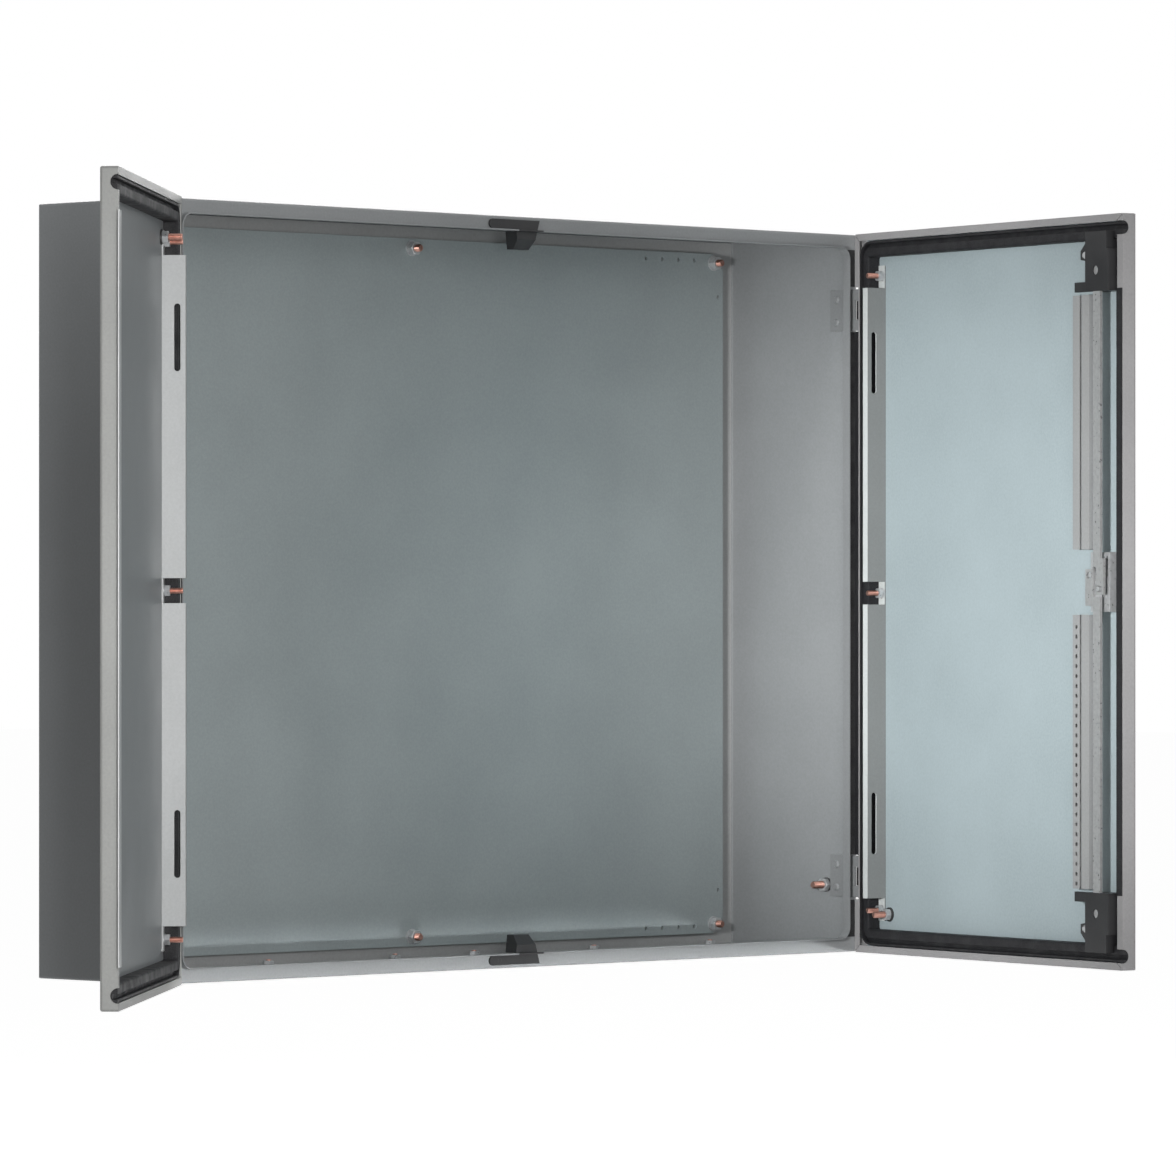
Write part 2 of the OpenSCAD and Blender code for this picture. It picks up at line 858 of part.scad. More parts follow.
// Cam: two ears with drive pins, and the tongue of the middle lock point
module lock_cam() {
    color(zinc) on_right_door() translate([lock_x, rim_y, lock_z]) {
        wall_plate(cam_from, cam_to) {
            circle(9);
            for (a = [45, 225]) rotate(a) {
                translate([0, -4.5]) square([cam_arm, 9]);
                translate([cam_arm, 0]) circle(4.5);
            }
            rotate(270) {
                translate([0, -6]) square([38, 12]);
                translate([38, 0]) circle(6);
            }
        }
        for (a = [45, 225]) rod_y(cam_arm * cos(a), cam_arm * sin(a), cam_to, rod_to + 0.6, cam_pin_r);
        rod_y(0, 0, cam_to, cam_to + 1.2, 2);
    }
}

// Flat rod that reaches up from the lock axis to its tip. Its end plate has a slot for the
// drive pin on one side of the axis: side is -1 towards the free edge and 1 away from it.
module lock_rod(side, reach) {
    arm = rod_travel / 2;
    pin_x = lock_x + side * arm;
    slot_in = pin_x - side * (cam_pin_r + cam_play);
    slot_out = pin_x + side * (cam_pin_r + cam_arm - arm + cam_play);
    slot_half = cam_pin_r + cam_play + 0.35;
    plate_in = slot_in - side * 1.3;
    plate_out = slot_out + side * 3;
    neck = arm + 8;
    left = rod_x - rod_w / 2;
    right = rod_x + rod_w / 2;
    y0 = rim_y + rod_from;
    y1 = rim_y + rod_to;
    bevel = 3;
    translate([0, 0, lock_z]) difference() {
        union() {
            block([left, y0, neck], [right, y1, reach - bevel]);
            translate([0, y1, reach - bevel]) rotate([90, 0, 0]) linear_extrude(y1 - y0)
                polygon([[left, 0], [right, 0], [right - bevel, bevel], [left + bevel, bevel]]);
            block([side < 0 ? right : left, y0, neck], [plate_out, y1, neck + 9]);
            block([plate_in, y0, -arm - 6], [plate_out, y1, neck + 9]);
        }
        block([slot_in, y0 - 1, -arm - slot_half], [slot_out, y1 + 1, -arm + slot_half]);
    }
}

module lock_rod_upper() {
    color(zinc) on_right_door() lock_rod(-1, rod_tip_z - lock_z);
}

module lock_rod_lower() {
    color(zinc) on_right_door() translate([0, 0, 2 * lock_z]) mirror([0, 0, 1])
        lock_rod(1, rod_tip_z + lock_z);
}

// Guide block with a channel that the rod slides through, a sight hole over the rod, a long
// tab, and an ear with a fixing screw
module rod_guide() {
    free_side = free_x + 11.5;
    x1 = free_x + 52;
    z0 = guide_top - guide_h;
    shoulder = z0 + 42;
    back = rim_y + guide_back;
    difference() {
        union() {
            block([free_side, panel_y, z0], [x1, back, shoulder]);
            block([free_side + 3.5, panel_y, z0], [x1, back, gasket_in_h - 0.5]);
            block([free_side + 3.5, rim_y + 0.5, z0], [x1, back, guide_top]);
            block([x1, rim_y + 2, z0], [x1 + 25, rim_y + 5.5, z0 + 10]);
            translate([0, rim_y + 5, 0]) rotate([90, 0, 0]) linear_extrude(3)
                polygon([[x1 - 1, shoulder - 12], [ear_x + 8, ear_z - 4.5], [ear_x + 8, ear_z + 4.5],
                         [x1 + 4, gasket_in_h - 0.5], [x1 - 1, gasket_in_h - 0.5]]);
        }
        block([rod_x - rod_w / 2 - 0.4, rim_y + rod_from - 0.4, z0 - 1],
              [rod_x + rod_w / 2 + 0.4, rim_y + rod_to + 0.4, guide_top + 1]);
        block([free_side + 3, panel_y - 1, z0 + 3], [x1 - 3, rim_y - 2, shoulder - 3]);
        rod_y(rod_x, guide_top - 39, rim_y + rod_to, back + 1, 4.5);
        rod_y(ear_x, ear_z, rim_y, rim_y + 6, 2);
    }
}

// Screw in the ear, with the sleeve that carries the ear off the door panel
module guide_screw() {
    rod_y(ear_x, ear_z, rim_y + 2, rim_y + 5, 2);
    rod_y(ear_x, ear_z, panel_y, rim_y + 2, 3.5);
    translate([ear_x, rim_y + 5, ear_z]) rotate([-90, 0, 0]) cylinder(r1 = 3.8, r2 = 2.6, h = 1.8);
}

module rod_guide_upper() {
    color(black) on_right_door() rod_guide();
}

module rod_guide_lower() {
    color(black) on_right_door() mirror([0, 0, 1]) rod_guide();
}

module rod_guide_screws() {
    color(zinc) on_right_door() {
        guide_screw();
        mirror([0, 0, 1]) guide_screw();
    }
}

body_shell();
rear_wall();
front_frame();
gland_plates();
gland_gaskets();
gland_studs();
gland_nuts();
mounting_plate();
plate_studs();
plate_spacers();
plate_washers();
plate_nuts();
left_hinge_body_leaves();
right_hinge_body_leaves();
hinge_rivets();
left_hinge_pins();
right_hinge_pins();
centre_block_top();
centre_block_bottom();
centre_block_screws();
body_earth_stud();
body_earth_washer();
body_earth_nut();
left_door_panel();
left_door_gasket();
left_hinge_door_leaves();
left_hinge_profile();
left_profile_studs();
left_profile_washers();
left_profile_nuts();
left_earth_stud();
left_earth_washer();
left_earth_nut();
left_closing_strip();
right_door_panel();
right_door_gasket();
right_hinge_door_leaves();
right_hinge_profile();
right_profile_studs();
right_profile_washers();
right_profile_nuts();
right_earth_stud();
right_earth_washer();
right_earth_nut();
right_centre_seal();
lock_side_profile();
lock_housing();
lock_barrel();
lock_barrel_nut();
rod_guide_upper();
rod_guide_lower();
rod_guide_screws();
lock_core();
lock_cam();
lock_rod_upper();
lock_rod_lower();
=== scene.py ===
"""Looks of the two-door steel wall enclosure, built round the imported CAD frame.
All sizes are in metres, in the frame's own axes: X right, Y into the wall, Z up."""
import json
import math

import bmesh
import bpy
from mathutils import Matrix, Vector

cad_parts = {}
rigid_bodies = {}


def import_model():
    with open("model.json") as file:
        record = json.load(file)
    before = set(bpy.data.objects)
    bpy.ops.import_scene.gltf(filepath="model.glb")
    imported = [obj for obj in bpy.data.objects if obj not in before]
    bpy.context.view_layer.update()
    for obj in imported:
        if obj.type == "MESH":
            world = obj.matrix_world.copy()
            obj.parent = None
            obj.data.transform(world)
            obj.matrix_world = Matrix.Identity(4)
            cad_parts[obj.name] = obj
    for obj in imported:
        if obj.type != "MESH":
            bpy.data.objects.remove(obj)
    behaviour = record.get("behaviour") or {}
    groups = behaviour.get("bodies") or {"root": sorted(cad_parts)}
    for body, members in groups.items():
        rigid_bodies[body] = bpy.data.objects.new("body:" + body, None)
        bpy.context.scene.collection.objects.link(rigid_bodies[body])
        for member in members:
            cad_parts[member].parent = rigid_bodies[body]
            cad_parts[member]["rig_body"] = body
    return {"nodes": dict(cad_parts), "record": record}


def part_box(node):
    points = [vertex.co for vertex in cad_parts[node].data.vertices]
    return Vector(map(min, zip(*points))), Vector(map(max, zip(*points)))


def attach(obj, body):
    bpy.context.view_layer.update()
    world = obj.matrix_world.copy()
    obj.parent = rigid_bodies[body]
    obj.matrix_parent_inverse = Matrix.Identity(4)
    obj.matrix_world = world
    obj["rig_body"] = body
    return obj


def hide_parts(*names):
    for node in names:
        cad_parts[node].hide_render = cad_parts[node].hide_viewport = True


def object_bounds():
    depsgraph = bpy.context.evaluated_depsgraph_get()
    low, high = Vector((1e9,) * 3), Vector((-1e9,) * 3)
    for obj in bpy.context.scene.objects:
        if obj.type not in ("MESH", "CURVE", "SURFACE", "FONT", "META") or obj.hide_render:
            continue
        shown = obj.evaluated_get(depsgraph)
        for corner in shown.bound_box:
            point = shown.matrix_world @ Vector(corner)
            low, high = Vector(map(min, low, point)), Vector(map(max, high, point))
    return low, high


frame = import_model()
CAD_BOX = [list(v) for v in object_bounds()]
NODES = frame["nodes"]
JOINTS = {j["name"]: j for j in frame["record"]["behaviour"]["joints"]}
MM = 0.001

# ---------- camera, lights and stage ----------

CAMERA_AT = Vector((-5.3824, -5.4724, -0.0261))
CAMERA_YAW = 45.961
CAMERA_LENS = 228.1
CAMERA_SHIFT = 0.0254


def look(obj, target):
    obj.rotation_euler = (Vector(target) - obj.location).to_track_quat("-Z", "Y").to_euler()


def make_camera():
    data = bpy.data.cameras.new("camera")
    data.sensor_width = 36.0
    data.lens = CAMERA_LENS
    data.shift_y = CAMERA_SHIFT
    data.clip_end = 60.0
    cam = bpy.data.objects.new("camera", data)
    cam.location = CAMERA_AT
    cam.rotation_euler = (math.radians(90.0), 0.0, math.radians(-CAMERA_YAW))
    bpy.context.scene.collection.objects.link(cam)
    bpy.context.scene.camera = cam


def lamp(name, kind, at, target, power):
    """A lamp of the given kind that the camera doesn't see, turned to its target."""
    data = bpy.data.lights.new(name, kind)
    data.energy = power
    obj = bpy.data.objects.new(name, data)
    obj.location = at
    obj.visible_camera = False
    look(obj, target)
    bpy.context.scene.collection.objects.link(obj)
    return data


def area_light(name, at, target, size, power):
    data = lamp(name, "AREA", at, target, power)
    data.shape = "RECTANGLE"
    data.size, data.size_y = size


def strip_light(name, at, target, size, spread, power):
    """A thin lamp whose light keeps to a narrow band."""
    data = lamp(name, "AREA", at, target, power)
    data.shape = "RECTANGLE"
    data.size, data.size_y = size
    data.spread = math.radians(spread)


def spot_light(name, at, target, cone, radius, power):
    """A soft spot of the given cone in degrees."""
    data = lamp(name, "SPOT", at, target, power)
    data.spot_size = math.radians(cone)
    data.spot_blend = 1.0
    data.shadow_soft_size = radius


def make_lights():
    """A front key from the left, a cross lamp for the right door, and small lamps that shape the edges."""
    area_light("key", (-3.9, -5.2, 0.5), (0.1, -0.2, 0.0), (2.0, 2.0), 80.0)
    spot_light("cross", (-2.2, -1.6, 0.05), (0.53, -0.36, 0.0), 23.0, 0.15, 560.0)
    bpy.data.objects["cross"].visible_glossy = False
    spot_light("left_edge", (-3.2, -3.6, 0.1), (-0.75, -0.4, 0.0), 20.0, 0.2, 340.0)
    spot_light("wall_top", (-2.4, -0.5, 1.5), (-0.5, -0.1, 0.58), 18.0, 0.2, 100.0)
    spot_light("wall_bottom", (-2.4, -0.5, -1.2), (-0.5, -0.1, -0.56), 18.0, 0.2, 125.0)
    area_light("top", (0.2, -1.0, 2.8), (0.0, -0.2, 0.0), (2.0, 1.2), 14.0)
    strip_light("lower_edge", (0.0, -1.3, -0.44), (0.0, -0.2, -0.405), (1.1, 0.03), 6.0, 0.34)
    area_light("rear", (2.2, 2.6, 1.2), (0.0, -0.1, 0.0), (1.8, 1.8), 90.0)


def backdrop_mask(nodes, links):
    """1 where a camera, glossy or transmission ray asks, and 0 for light on the object."""
    path = nodes.new("ShaderNodeLightPath")
    first = nodes.new("ShaderNodeMath")
    first.operation = "MAXIMUM"
    links.new(path.outputs["Is Camera Ray"], first.inputs[0])
    links.new(path.outputs["Is Glossy Ray"], first.inputs[1])
    both = nodes.new("ShaderNodeMath")
    both.operation = "MAXIMUM"
    links.new(first.outputs[0], both.inputs[0])
    links.new(path.outputs["Is Transmission Ray"], both.inputs[1])
    return both.outputs[0]


def make_world(ambient):
    """White where it is seen, and a weak even light on the object."""
    world = bpy.data.worlds.new("world")
    bpy.context.scene.world = world
    world.use_nodes = True
    nodes, links = world.node_tree.nodes, world.node_tree.links
    nodes.clear()
    out = nodes.new("ShaderNodeOutputWorld")
    mix = nodes.new("ShaderNodeMixShader")
    light = nodes.new("ShaderNodeBackground")
    light.inputs["Color"].default_value = (1.0, 1.0, 1.0, 1.0)
    light.inputs["Strength"].default_value = ambient
    seen = nodes.new("ShaderNodeBackground")
    seen.inputs["Color"].default_value = (1.0, 1.0, 1.0, 1.0)
    seen.inputs["Strength"].default_value = 1.0
    links.new(backdrop_mask(nodes, links), mix.inputs[0])
    links.new(light.outputs[0], mix.inputs[1])
    links.new(seen.outputs[0], mix.inputs[2])
    links.new(mix.outputs[0], out.inputs["Surface"])


FLOOR_PAINT = 0.86
FLOOR_GLOW = 0.9


def make_floor(drop, half):
    """Plain pale floor under the object: diffuse, so that it keeps the object's shadow."""
    low = CAD_BOX[0][2] - drop
    mesh = bpy.data.meshes.new("floor")
    mesh.from_pydata([(-half, -half, low), (half, -half, low), (half, half, low), (-half, half, low)],
                     [], [(0, 1, 2, 3)])
    floor = bpy.data.objects.new("floor", mesh)
    bpy.context.scene.collection.objects.link(floor)
    mat = bpy.data.materials.new("floor")
    mat.use_nodes = True
    nodes, links = mat.node_tree.nodes, mat.node_tree.links
    nodes.clear()
    out = nodes.new("ShaderNodeOutputMaterial")
    diffuse = nodes.new("ShaderNodeBsdfDiffuse")
    diffuse.inputs["Color"].default_value = (FLOOR_PAINT, FLOOR_PAINT, FLOOR_PAINT, 1.0)
    glow = nodes.new("ShaderNodeEmission")
    gain = nodes.new("ShaderNodeMath")
    gain.operation = "MULTIPLY"
    gain.inputs[1].default_value = FLOOR_GLOW
    add = nodes.new("ShaderNodeAddShader")
    links.new(backdrop_mask(nodes, links), gain.inputs[0])
    links.new(gain.outputs[0], glow.inputs["Strength"])
    links.new(diffuse.outputs[0], add.inputs[0])
    links.new(glow.outputs[0], add.inputs[1])
    links.new(add.outputs[0], out.inputs["Surface"])
    mesh.materials.append(mat)


# ---------- materials ----------

def new_material(name):
    """A Principled material with its node tree's parts."""
    mat = bpy.data.materials.new(name)
    mat.use_nodes = True
    shader = mat.node_tree.nodes["Principled BSDF"]
    return mat, mat.node_tree.nodes, mat.node_tree.links, shader


def noise(nodes, links, scale, stretch=(1.0, 1.0, 1.0), detail=3.0):
    """Noise over the object's own coordinates, stretched by the three factors."""
    coords = nodes.new("ShaderNodeTexCoord")
    place = nodes.new("ShaderNodeMapping")
    place.inputs["Scale"].default_value = stretch
    tex = nodes.new("ShaderNodeTexNoise")
    tex.inputs["Scale"].default_value = scale
    tex.inputs["Detail"].default_value = detail
    links.new(coords.outputs["Object"], place.inputs["Vector"])
    links.new(place.outputs["Vector"], tex.inputs["Vector"])
    return tex.outputs["Fac"]


def span(nodes, links, value, low, high, at=(0.3, 0.7)):
    """Maps a value from the range at to the range from low to high."""
    ramp = nodes.new("ShaderNodeMapRange")
    ramp.inputs["From Min"].default_value, ramp.inputs["From Max"].default_value = at
    ramp.inputs["To Min"].default_value = low
    ramp.inputs["To Max"].default_value = high
    links.new(value, ramp.inputs["Value"])
    return ramp.outputs["Result"]


def tinted(nodes, links, factor, dark, light):
    """Colour between dark and light by a factor."""
    mix = nodes.new("ShaderNodeMix")
    mix.data_type = "RGBA"
    mix.inputs["A"].default_value = (*dark, 1.0)
    mix.inputs["B"].default_value = (*light, 1.0)
    links.new(factor, mix.inputs["Factor"])
    return mix.outputs["Result"]


def relief(nodes, links, shader, height, strength, depth, edge):
    """Bump on the shader, over edges that look rounded by the given radius."""
    bump = nodes.new("ShaderNodeBump")
    bump.inputs["Strength"].default_value = strength
    bump.inputs["Distance"].default_value = depth
    links.new(height, bump.inputs["Height"])
    bevel = nodes.new("ShaderNodeBevel")
    bevel.samples = 4
    bevel.inputs["Radius"].default_value = edge
    links.new(bevel.outputs["Normal"], bump.inputs["Normal"])
    links.new(bump.outputs["Normal"], shader.inputs["Normal"])


def scaled(colour, k):
    """A colour times k, kept within 1."""
    return tuple(min(1.0, c * k) for c in colour)


def facing(nodes, links, direction, behind=None):
    """1 on the faces that look one way in the part's own frame, 0 elsewhere.

    With behind, it is also 0 on faces further along that direction than this distance."""
    coords = nodes.new("ShaderNodeTexCoord")
    turned = nodes.new("ShaderNodeVectorMath")
    turned.operation = "DOT_PRODUCT"
    turned.inputs[1].default_value = direction
    links.new(coords.outputs["Normal"], turned.inputs[0])
    amount = span(nodes, links, turned.outputs["Value"], 0.0, 1.0, (0.6, 0.9))
    if behind is None:
        return amount
    depth = nodes.new("ShaderNodeVectorMath")
    depth.operation = "DOT_PRODUCT"
    depth.inputs[1].default_value = direction
    links.new(coords.outputs["Object"], depth.inputs[0])
    both = nodes.new("ShaderNodeMath")
    both.operation = "MULTIPLY"
    links.new(amount, both.inputs[0])
    near = span(nodes, links, depth.outputs["Value"], 1.0, 0.0, (behind - MM, behind + MM))
    links.new(near, both.inputs[1])
    return both.outputs[0]


def side_painted_shading(nodes, links, colour, factor, direction, behind=None):
    """Painted light and shade: multiplies a colour by a factor on the faces that look one way."""
    mix = nodes.new("ShaderNodeMix")
    mix.data_type = "RGBA"
    mix.blend_type = "MULTIPLY"
    mix.inputs["B"].default_value = (*factor, 1.0)
    links.new(facing(nodes, links, direction, behind), mix.inputs["Factor"])
    links.new(colour, mix.inputs["A"])
    return mix.outputs["Result"]


def steel(name, colour, metallic, rough, grain, edge=0.4 * MM, patch=0.07, gloss=0.3, side=None):
    """Satin sheet steel: broad patches, a fine mottle and a faint grain along one direction.

    side holds what side_painted_shading needs to paint light and shade on the faces that look one way:
    factor, direction, behind."""
    mat, nodes, links, shader = new_material(name)
    broad = noise(nodes, links, 9.0, detail=4.0)
    fine = noise(nodes, links, 420.0, detail=2.0)
    lines = noise(nodes, links, 1.0, grain, detail=2.0)
    mix = nodes.new("ShaderNodeMath")
    mix.operation = "MULTIPLY_ADD"
    mix.inputs[1].default_value = 0.55
    links.new(broad, mix.inputs[0])
    half = nodes.new("ShaderNodeMath")
    half.operation = "MULTIPLY"
    half.inputs[1].default_value = 0.45
    links.new(fine, half.inputs[0])
    links.new(half.outputs[0], mix.inputs[2])
    fac = span(nodes, links, mix.outputs[0], 0.0, 1.0, (0.35, 0.65))
    tint = tinted(nodes, links, fac, scaled(colour, 1.0 - patch), scaled(colour, 1.0 + patch))
    if side:
        tint = side_painted_shading(nodes, links, tint, *side)
    links.new(tint, shader.inputs["Base Color"])
    links.new(span(nodes, links, broad, rough - 0.05, rough + 0.07), shader.inputs["Roughness"])
    shader.inputs["Metallic"].default_value = metallic
    shader.inputs["Specular IOR Level"].default_value = gloss
    joined = nodes.new("ShaderNodeMath")
    joined.operation = "ADD"
    links.new(fine, joined.inputs[0])
    links.new(lines, joined.inputs[1])
    relief(nodes, links, shader, joined.outputs[0], 0.12, 0.08 * MM, edge)
    return mat


def plated(name, dark, light, rough, metallic=1.0):
    """Plated small part: uneven sheen and slight tarnish."""
    mat, nodes, links, shader = new_material(name)
    cloud = noise(nodes, links, 260.0, detail=4.0)
    fine = noise(nodes, links, 2200.0, detail=2.0)
    links.new(tinted(nodes, links, span(nodes, links, cloud, 0.0, 1.0), dark, light),
              shader.inputs["Base Color"])
    links.new(span(nodes, links, cloud, rough - 0.08, rough + 0.12), shader.inputs["Roughness"])
    shader.inputs["Metallic"].default_value = metallic
    relief(nodes, links, shader, fine, 0.15, 0.03 * MM, 0.2 * MM)
    return mat


def foam_rubber(name):
    """Foamed seal: matt black skin with small pits."""
    mat, nodes, links, shader = new_material(name)
    pits = noise(nodes, links, 900.0, detail=3.0)
    wave = noise(nodes, links, 60.0, detail=2.0)
    links.new(tinted(nodes, links, span(nodes, links, pits, 0.0, 1.0), (0.006, 0.006, 0.007),
                     (0.022, 0.022, 0.024)), shader.inputs["Base Color"])
    links.new(span(nodes, links, wave, 0.55, 0.8), shader.inputs["Roughness"])
    shader.inputs["Specular IOR Level"].default_value = 0.35
    relief(nodes, links, shader, pits, 0.5, 0.15 * MM, 0.6 * MM)
    return mat


def moulded_plastic(name):
    """Black moulded plastic with a fine spark-eroded grain."""
    mat, nodes, links, shader = new_material(name)
    grain = noise(nodes, links, 1600.0, detail=3.0)
    cloud = noise(nodes, links, 40.0, detail=2.0)
    links.new(tinted(nodes, links, span(nodes, links, cloud, 0.0, 1.0), (0.007, 0.007, 0.008),
                     (0.015, 0.015, 0.016)), shader.inputs["Base Color"])
    links.new(span(nodes, links, grain, 0.38, 0.55), shader.inputs["Roughness"])
    relief(nodes, links, shader, grain, 0.25, 0.04 * MM, 0.5 * MM)
    return mat


# a plane between a closed door's sheet and its rim
DOOR_MIDDLE = -0.192
# how noise is stretched into a grain that runs along one axis
ALONG_X = (6.0, 2500.0, 2500.0)
ALONG_Z = (2500.0, 2500.0, 6.0)
LEFTWARD = Vector((-1.0, 0.0, 0.0))
INWARD = Vector((0.0, 1.0, 0.0))


def door_turn(side):
    """How a door is turned from closed to the way it is drawn."""
    hinge = JOINTS[side + "_door_hinge"]
    return Matrix.Rotation(-math.radians(hinge["range_deg"][0]), 3, hinge["axis"])


def door_inside(side, y_closed):
    """The way a door's inside looks, and how far along it a plane of the closed door lies."""
    at = Vector(JOINTS[side + "_door_hinge"]["pos_m"])
    inside = door_turn(side) @ INWARD
    point = at + door_turn(side) @ (Vector((at.x, y_closed, at.z)) - at)
    return inside, inside.dot(point)


def make_materials():
    """Every finish by its short name. Some hold painted light and shade: the doors' sheets, but not their
    rims, get a painted bluish reflection, with painted shade on the left door and painted light on the
    right door; the frame's leftward faces and the right profile's web get painted shade; the right profile
    and the rear wall are painted lighter, and the left closing strip is painted light as a highlight.
    """
    across_right = door_turn("right") @ LEFTWARD
    # painted shade, painted light and a painted bluish reflection on each door's sheet, not on its rim:
    # the left sheet darker and bluer, the right sheet lighter and bluer
    left_sheet_shade_and_reflection = ((0.80, 0.837, 0.887), *door_inside("left", DOOR_MIDDLE))
    right_sheet_light_and_reflection = ((1.045, 1.253, 1.30), *door_inside("right", DOOR_MIDDLE))
    return {
        "body": steel("body_steel", (0.22, 0.23, 0.235), 0.12, 0.42, ALONG_X, gloss=0.2),
        # painted shade: the frame's faces that look left get 0.74 of their colour
        "frame": steel("frame_steel", (0.26, 0.27, 0.275), 0.15, 0.40, ALONG_X, gloss=0.3,
                       side=((0.74, 0.74, 0.74), LEFTWARD)),
        "left_door": steel("left_door_steel", (0.322, 0.325, 0.315), 0.15, 0.42, ALONG_Z, gloss=0.15,
                           side=left_sheet_shade_and_reflection),
        "right_door": steel("right_door_steel", (0.312, 0.308, 0.311), 0.15, 0.42, ALONG_Z, gloss=0.15,
                            side=right_sheet_light_and_reflection),
        "plate": steel("plate_steel", (0.30, 0.336, 0.341), 0.30, 0.42, ALONG_X),
        "zinc": plated("zinc_plate", (0.44, 0.45, 0.455), (0.56, 0.57, 0.58), 0.34, 0.6),
        "left_profile": steel("left_profile_steel", (0.46, 0.47, 0.47), 0.08, 0.36, ALONG_Z),
        # painted light: the right profile is painted lighter than the left one; painted shade takes its
        # faces that look across the door to 0.32 of that colour
        "right_profile": steel("right_profile_painted_shading_steel", (0.52, 0.545, 0.54), 0.05, 0.36, ALONG_Z,
                               side=((0.32, 0.32, 0.32), across_right)),
        "lock_profile": steel("lock_profile_steel", (0.27, 0.275, 0.275), 0.08, 0.36, ALONG_Z),
        # painted light: the rear wall is painted lighter than the body's sheet
        "rear": steel("rear_painted_light_steel", (0.36, 0.365, 0.365), 0.12, 0.42, ALONG_X, gloss=0.2),
        "rod": plated("rod_zinc", (0.33, 0.335, 0.335), (0.42, 0.425, 0.425), 0.34, 0.5),
        # painted highlight: the left closing strip is painted much lighter than the door, for a bright
        # line along the left door's free edge
        "strip": steel("strip_painted_highlight_steel", (0.56, 0.57, 0.57), 0.2, 0.36, ALONG_Z),
        "copper": plated("copper_plate", (0.42, 0.21, 0.165), (0.60, 0.35, 0.29), 0.36),
        "dark": plated("dark_washer", (0.03, 0.03, 0.03), (0.07, 0.07, 0.07), 0.45, 0.6),
        "foam": foam_rubber("foam_seal"),
        "plastic": moulded_plastic("moulded_plastic"),
    }


FINISH_OF = {
    "body_shell": "body",
    "gland_plates": "body",
    "rear_wall": "rear",
    "front_frame": "frame",
    "hinge_rivets": "frame",
    "mounting_plate": "plate",
    "left_closing_strip": "strip",
    "lock_side_profile": "lock_profile",
    "right_centre_seal": "foam",
    "rod_guide_upper": "plastic",
    "rod_guide_lower": "plastic",
}


def material_of(node):
    """Which finish a CAD node has."""
    if node in FINISH_OF:
        return FINISH_OF[node]
    if "gasket" in node:
        return "foam"
    if node.startswith("centre_block"):
        return "plastic"
    if node.startswith("lock_rod"):
        return "rod"
    if node.endswith(("earth_washer", "door_leaves")):
        return "dark"
    if node.endswith("body_leaves"):
        return "frame"
    if node.endswith("door_panel"):
        return node.split("_")[0] + "_door"
    if node.endswith("hinge_profile"):
        return node.split("_")[0] + "_profile"
    return "copper" if "stud" in node else "zinc"


def dress_nodes(mats):
    """Gives every CAD node its finish."""
    for name, obj in NODES.items():
        obj.data.materials.clear()
        obj.data.materials.append(mats[material_of(name)])


# ---------- turned pieces that stand for plain CAD solids ----------

MOUNTS = {row["name"]: row for row in frame["record"]["mounts"]}
INTO_RIGHT = Vector(MOUNTS["right_earth_stud_end"]["axis"])
INTO_LEFT = Vector(MOUNTS["left_earth_stud_end"]["axis"])
INTO_BODY = Vector(MOUNTS["body_earth_stud_end"]["axis"])
FORWARD = -INWARD
UP = Vector((0.0, 0.0, 1.0))


def solids_of(node):
    """The points of each separate solid in a CAD node."""
    work = bmesh.new()
    work.from_mesh(NODES[node].data)
    bmesh.ops.remove_doubles(work, verts=work.verts, dist=0.001 * MM)
    left = set(work.verts)
    groups = []
    while left:
        stack = [left.pop()]
        points = []
        while stack:
            vert = stack.pop()
            points.append(vert.co.copy())
            near = {edge.other_vert(vert) for edge in vert.link_edges} & left
            left -= near
            stack.extend(near)
        groups.append(points)
    work.free()
    return groups


def axis_frame(points, axis):
    """Foot on the axis, length, radius and the direction of the outermost corner of a solid."""
    side = axis.orthogonal().normalized()
    up = axis.cross(side)
    low = Vector([min(p.dot(d) for p in points) for d in (axis, side, up)])
    high = Vector([max(p.dot(d) for p in points) for d in (axis, side, up)])
    middle = (low + high) / 2.0
    foot = axis * low.x + side * middle.y + up * middle.z
    corner, radius = side, 0.0
    for p in points:
        out = (p - foot) - axis * (p - foot).dot(axis)
        if out.length > radius:
            corner, radius = out.normalized(), out.length
    return foot, high.x - low.x, radius, corner


def wrapped(foot, axis, corner, sides, rows):
    """Rings round an axis, closed at both ends. A row gives a radius and a height for an angle."""
    up = axis.cross(corner)
    verts, faces = [], []
    for row in rows:
        for k in range(sides):
            angle = 2.0 * math.pi * k / sides
            radius, height = row(angle)
            out = corner * math.cos(angle) + up * math.sin(angle)
            verts.append(foot + axis * height + out * radius)
    for r in range(len(rows) - 1):
        for k in range(sides):
            a, b = r * sides + k, r * sides + (k + 1) % sides
            faces.append((a, b, b + sides, a + sides))
    faces.append(tuple(reversed(range(sides))))
    faces.append(tuple(range(len(verts) - sides, len(verts))))
    return verts, faces


def ring(radius, height):
    """A round row."""
    return lambda angle: (radius, height)


def thread_rows(radius, length, pitch):
    """Rows of a rolled thread with a bevelled tip."""
    depth, bevel = 0.55 * pitch, 0.9 * pitch

    def row(height):
        def at(angle):
            turn = (height / pitch - angle / (2.0 * math.pi)) % 1.0
            crest = radius - depth * abs(2.0 * turn - 1.0)
            return min(crest, radius - max(0.0, height - length + bevel) * 0.8), height
        return at

    count = int(length / pitch * 4)
    return [row(length * k / count) for k in range(count + 1)]


def nut_rows(corner_r, height, bore):
    """Rows of a hexagon nut with turned chamfers and a countersunk bore."""
    flat = corner_r * math.cos(math.pi / 6.0)
    face = 0.96 * flat
    sink = 0.4 * MM

    def rim(angle, top):
        radius = flat / math.cos(angle % (math.pi / 3.0) - math.pi / 6.0)
        drop = (radius - face) * math.tan(math.radians(30.0))
        return radius, height - drop if top else drop

    return [ring(bore, 0.0), ring(face, 0.0), lambda a: rim(a, False), lambda a: rim(a, True),
            ring(face, height), ring(bore + sink, height), ring(bore, height - sink)]


